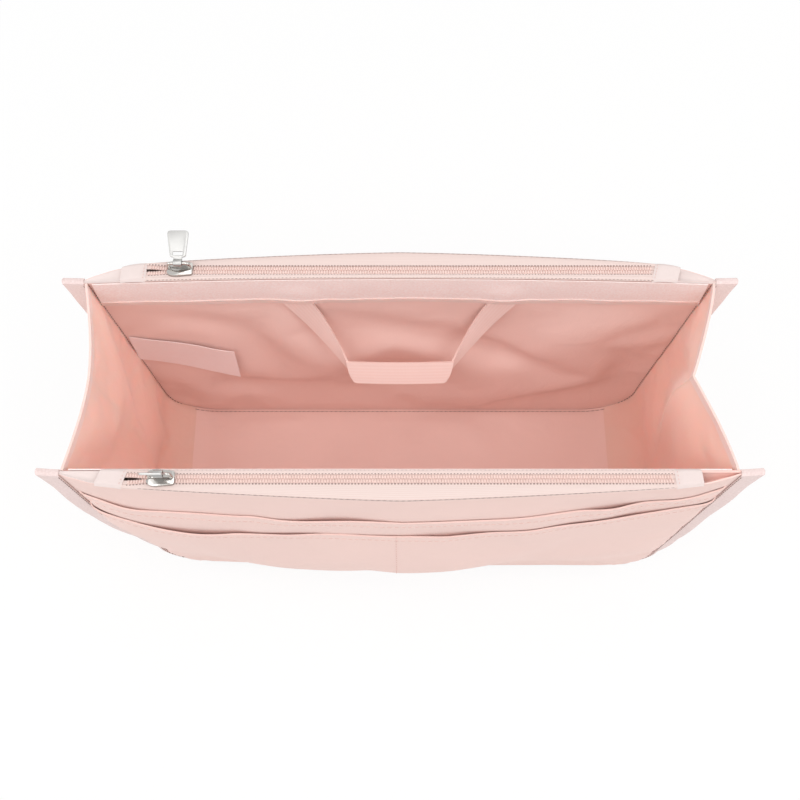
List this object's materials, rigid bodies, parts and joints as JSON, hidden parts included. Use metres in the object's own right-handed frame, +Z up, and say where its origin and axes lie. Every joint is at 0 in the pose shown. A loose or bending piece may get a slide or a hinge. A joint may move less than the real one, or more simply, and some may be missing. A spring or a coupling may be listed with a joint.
{
  "type": "toiletry bag",
  "caption": "Open-topped soft organiser bag: two flat zipped pouches joined by a floor and folding side gussets, with inside webbing handles and front slip pockets.",
  "frame": {"origin": "middle of the floor cloth's underside, on the surface the bag stands on", "axes": "+X along the bag, from its left end to its right as seen from the front; -Y is the front, the pouch with the slip pockets; +Z up"},
  "size_m": [0.299, 0.1274, 0.1687],
  "materials": {
    "outer_cloth": "matt pale pink nylon",
    "inner_cloth": "matt salmon pink nylon",
    "facing": "coated hem band, fine dots",
    "zip_tape": "woven zip tape",
    "zip_coil": "moulded coil",
    "tab_cloth": "folded cloth tab",
    "slider_metal": "polished",
    "pull_metal": "satin",
    "webbing": "woven webbing",
    "label_satin": "satin ribbon, bare"
  },
  "bodies": {
    "base": {"floor_cloth": "outer_cloth", "floor_lining": "inner_cloth", "gusset_left_front": "inner_cloth", "gusset_left_back": "inner_cloth", "gusset_right_front": "inner_cloth", "gusset_right_back": "inner_cloth"},
    "front_pouch": {"front_inner_panel": "inner_cloth", "front_outer_panel": "outer_cloth", "front_slip_upper": "outer_cloth", "front_slip_lower": "outer_cloth", "front_facing_band": "facing", "front_tape_inner": "zip_tape", "front_tape_outer": "zip_tape", "front_coil_inner": "zip_coil", "front_coil_outer": "zip_coil", "front_end_tab_left": "tab_cloth", "front_end_tab_right": "tab_cloth"},
    "back_pouch": {"back_inner_panel": "inner_cloth", "back_outer_panel": "outer_cloth", "back_facing_band": "facing", "back_tape_inner": "zip_tape", "back_tape_outer": "zip_tape", "back_coil_inner": "zip_coil", "back_coil_outer": "zip_coil", "back_end_tab_left": "tab_cloth", "back_end_tab_right": "tab_cloth", "label": "label_satin"},
    "front_slider": {"front_slider": "slider_metal"},
    "back_slider": {"back_slider": "slider_metal"},
    "front_pull": {"front_pull": "pull_metal"},
    "back_pull": {"back_pull": "pull_metal"},
    "front_handle": {"front_handle": "webbing"},
    "back_handle": {"back_handle": "webbing"}
  },
  "joints": [
    {"name": "front_wall_fold", "type": "hinge", "parent": "base", "child": "front_pouch", "pos_m": [0, -0.0444, 0.001], "axis": [-1, 0, 0], "range_deg": [0, 8], "deforming": ["gusset_left_front", "gusset_right_front"]},
    {"name": "back_wall_fold", "type": "hinge", "parent": "base", "child": "back_pouch", "pos_m": [0, 0.0444, 0.001], "axis": [1, 0, 0], "range_deg": [0, 8], "deforming": ["gusset_left_back", "gusset_right_back"]},
    {"name": "front_zip_slide", "type": "slide", "parent": "front_pouch", "child": "front_slider", "axis": [1, 0, 0], "range_m": [0, 0.204]},
    {"name": "back_zip_slide", "type": "slide", "parent": "back_pouch", "child": "back_slider", "axis": [1, 0, 0], "range_m": [0, 0.204]},
    {"name": "front_pull_turn", "type": "hinge", "parent": "front_slider", "child": "front_pull", "pos_m": [-0.098, -0.0478, 0.1548], "axis": [1, 0, 0], "range_deg": [-134, 96]},
    {"name": "back_pull_turn", "type": "hinge", "parent": "back_slider", "child": "back_pull", "pos_m": [-0.098, 0.0502, 0.1548], "axis": [1, 0, 0], "range_deg": [-45, 185]},
    {"name": "front_handle_swing", "type": "hinge", "parent": "front_pouch", "child": "front_handle", "pos_m": [0, -0.043, 0.1276], "axis": [1, 0, 0], "range_deg": [0, 150]},
    {"name": "back_handle_swing", "type": "hinge", "parent": "back_pouch", "child": "back_handle", "pos_m": [0, 0.04485, 0.1276], "axis": [-1, 0, 0], "range_deg": [0, 150]}
  ]
}
